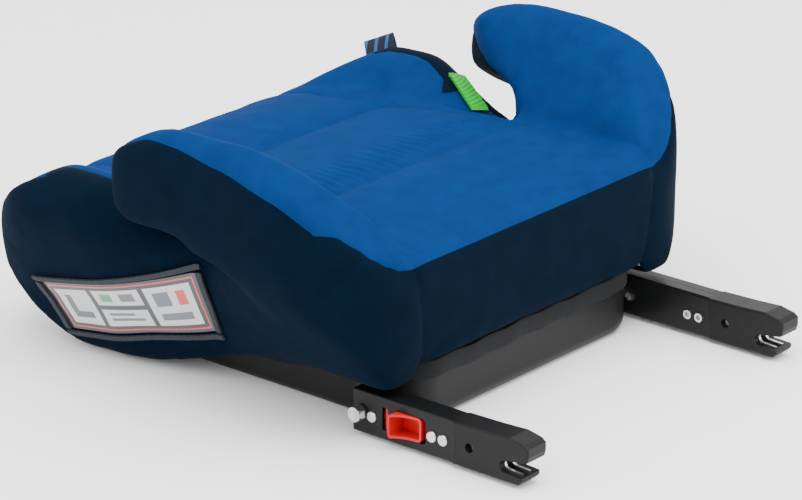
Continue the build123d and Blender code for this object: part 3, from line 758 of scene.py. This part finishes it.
card = conformed("printed_card", (edge_across, 1 - edge_across), (edge_up, 1 - edge_up), 0.0006, (56, 24),
                 0.0004)
card_paint = bpy.data.materials.new("printed_card")
card_paint.use_nodes = True
card_tree = card_paint.node_tree
card_surface = card_tree.nodes["Principled BSDF"]
card_surface.inputs["Roughness"].default_value = 0.35
card_surface.inputs["Coat Weight"].default_value = 0.6
card_surface.inputs["Coat Roughness"].default_value = 0.12
card_where = card_tree.nodes.new("ShaderNodeUVMap")
card_where.uv_map = "flat"
card_split = card_tree.nodes.new("ShaderNodeSeparateXYZ")
card_tree.links.new(card_where.outputs["UV"], card_split.inputs[0])


def between(axis, start, end):
    """One inside a range of the card's width or height, zero outside."""
    middle = card_tree.nodes.new("ShaderNodeMath")
    middle.operation = "SUBTRACT"
    middle.inputs[1].default_value = (start + end) / 2
    card_tree.links.new(card_split.outputs[axis], middle.inputs[0])
    size = card_tree.nodes.new("ShaderNodeMath")
    size.operation = "ABSOLUTE"
    card_tree.links.new(middle.outputs[0], size.inputs[0])
    inside = card_tree.nodes.new("ShaderNodeMath")
    inside.operation = "LESS_THAN"
    inside.inputs[1].default_value = (end - start) / 2
    card_tree.links.new(size.outputs[0], inside.inputs[0])
    return inside.outputs[0]


def field(across_range, up_range):
    """One inside a rectangle of the card, zero outside."""
    both = card_tree.nodes.new("ShaderNodeMath")
    both.operation = "MULTIPLY"
    card_tree.links.new(between("X", *across_range), both.inputs[0])
    card_tree.links.new(between("Y", *up_range), both.inputs[1])
    return both.outputs[0]


ink = card_tree.nodes.new("ShaderNodeRGB").outputs[0]
ink.default_value = (0.022, 0.026, 0.034, 1)
border_red, field_dark, field_pale = (0.55, 0.03, 0.03, 1), (0.022, 0.026, 0.034, 1), (0.46, 0.47, 0.47, 1)
bar_dark, bar_grey = (0.10, 0.11, 0.13, 1), (0.08, 0.09, 0.11, 1)
bar_green, bar_red = (0.05, 0.25, 0.10, 1), (0.50, 0.04, 0.04, 1)
printing = [((0.06, 0.94), (0.15, 0.85), border_red), ((0.068, 0.932), (0.172, 0.828), field_dark),
            ((0.09, 0.30), (0.22, 0.78), field_pale), ((0.33, 0.62), (0.54, 0.78), field_pale),
            ((0.33, 0.62), (0.22, 0.47), field_pale), ((0.65, 0.91), (0.22, 0.78), field_pale),
            ((0.13, 0.17), (0.32, 0.68), bar_grey), ((0.13, 0.26), (0.32, 0.42), bar_grey),
            ((0.37, 0.44), (0.60, 0.72), bar_green), ((0.49, 0.58), (0.60, 0.72), bar_dark),
            ((0.37, 0.58), (0.30, 0.34), bar_dark), ((0.37, 0.53), (0.38, 0.42), bar_dark),
            ((0.69, 0.78), (0.50, 0.70), bar_dark), ((0.69, 0.87), (0.30, 0.40), bar_dark),
            ((0.82, 0.87), (0.50, 0.70), bar_red)]
for across_range, up_range, paint_colour in printing:
    printed = card_tree.nodes.new("ShaderNodeMix")
    printed.data_type = "RGBA"
    printed.inputs[7].default_value = paint_colour
    card_tree.links.new(field(across_range, up_range), printed.inputs[0])
    card_tree.links.new(ink, printed.inputs[6])
    ink = printed.outputs[2]
card_tree.links.new(ink, card_surface.inputs["Base Color"])
card.data.materials.clear()
card.data.materials.append(card_paint)
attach(card, "seat")
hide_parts("label_card")


# ------------------------------------------------------------ tray, arms and fastenings
# The hard parts keep their own shapes. The tray and the caps are moulded plastic with a fine
# grain, the channels are painted steel, the fastenings and mechanism are zinc plated.

def hard(title, colour, rough, metal, grain, grain_size, variation, coat=0.0):
    """A hard surface: fine grain in its bump, and slow change in its tone and roughness."""
    paint = bpy.data.materials.new(title)
    paint.use_nodes = True
    tree = paint.node_tree
    surface = tree.nodes["Principled BSDF"]
    surface.inputs["Metallic"].default_value = metal
    surface.inputs["Coat Weight"].default_value = coat
    surface.inputs["Specular IOR Level"].default_value = 0.5 if metal else 0.14
    surface.inputs["Coat Roughness"].default_value = 0.15
    where = tree.nodes.new("ShaderNodeTexCoord")
    fine = tree.nodes.new("ShaderNodeTexNoise")
    fine.inputs["Scale"].default_value = 1 / grain_size
    fine.inputs["Detail"].default_value = 3
    slow = tree.nodes.new("ShaderNodeTexNoise")
    slow.inputs["Scale"].default_value = 45
    slow.inputs["Detail"].default_value = 5
    for texture in (fine, slow):
        tree.links.new(where.outputs["Object"], texture.inputs["Vector"])
    bump = tree.nodes.new("ShaderNodeBump")
    bump.inputs["Strength"].default_value = grain
    bump.inputs["Distance"].default_value = 0.0002
    tree.links.new(fine.outputs["Fac"], bump.inputs["Height"])
    tree.links.new(bump.outputs["Normal"], surface.inputs["Normal"])
    tone = tree.nodes.new("ShaderNodeValToRGB")
    tone.color_ramp.elements[0].position = 0.3
    tone.color_ramp.elements[0].color = (*[level * (1 - variation) for level in colour], 1)
    tone.color_ramp.elements[1].position = 0.7
    tone.color_ramp.elements[1].color = (*[min(1, level * (1 + variation)) for level in colour], 1)
    tree.links.new(slow.outputs["Fac"], tone.inputs["Fac"])
    tree.links.new(tone.outputs["Color"], surface.inputs["Base Color"])
    gloss = tree.nodes.new("ShaderNodeMapRange")
    gloss.inputs["To Min"].default_value = rough - 0.07
    gloss.inputs["To Max"].default_value = rough + 0.07
    tree.links.new(slow.outputs["Fac"], gloss.inputs["Value"])
    tree.links.new(gloss.outputs["Result"], surface.inputs["Roughness"])
    return paint


finishes = {
    "base_shell": hard("charcoal_plastic", (0.0085, 0.0080, 0.0083), 0.42, 0, 0.35, 0.0009, 0.10),
    "hook_cap": hard("cap_plastic", (0.0070, 0.0070, 0.0074), 0.40, 0, 0.30, 0.0008, 0.10),
    "channel": hard("black_paint", (0.0055, 0.0058, 0.0060), 0.36, 0, 0.22, 0.0014, 0.16, 0.08),
    "release_slider": hard("red_plastic", (0.46, 0.004, 0.008), 0.33, 0, 0.12, 0.0010, 0.06, 0.2),
    "pivot_washer": hard("dark_washer", (0.035, 0.035, 0.038), 0.42, 0.6, 0.2, 0.0008, 0.15),
    "slider_spring": hard("spring_steel", (0.32, 0.32, 0.33), 0.30, 1, 0.15, 0.0006, 0.15),
    "zinc": hard("zinc_plate", (0.62, 0.62, 0.60), 0.30, 1, 0.18, 0.0007, 0.10)}
soft_parts = ("cover", "seat", "side_core", "armrest_core", "hem", "label", "front_tag", "belt_loop")
for name, part in nodes.items():
    if name.startswith(soft_parts):
        continue
    finish = finishes["zinc"]
    for key, paint in finishes.items():
        if key in name:
            finish = paint
    for place in part.material_slots:
        place.material = finish
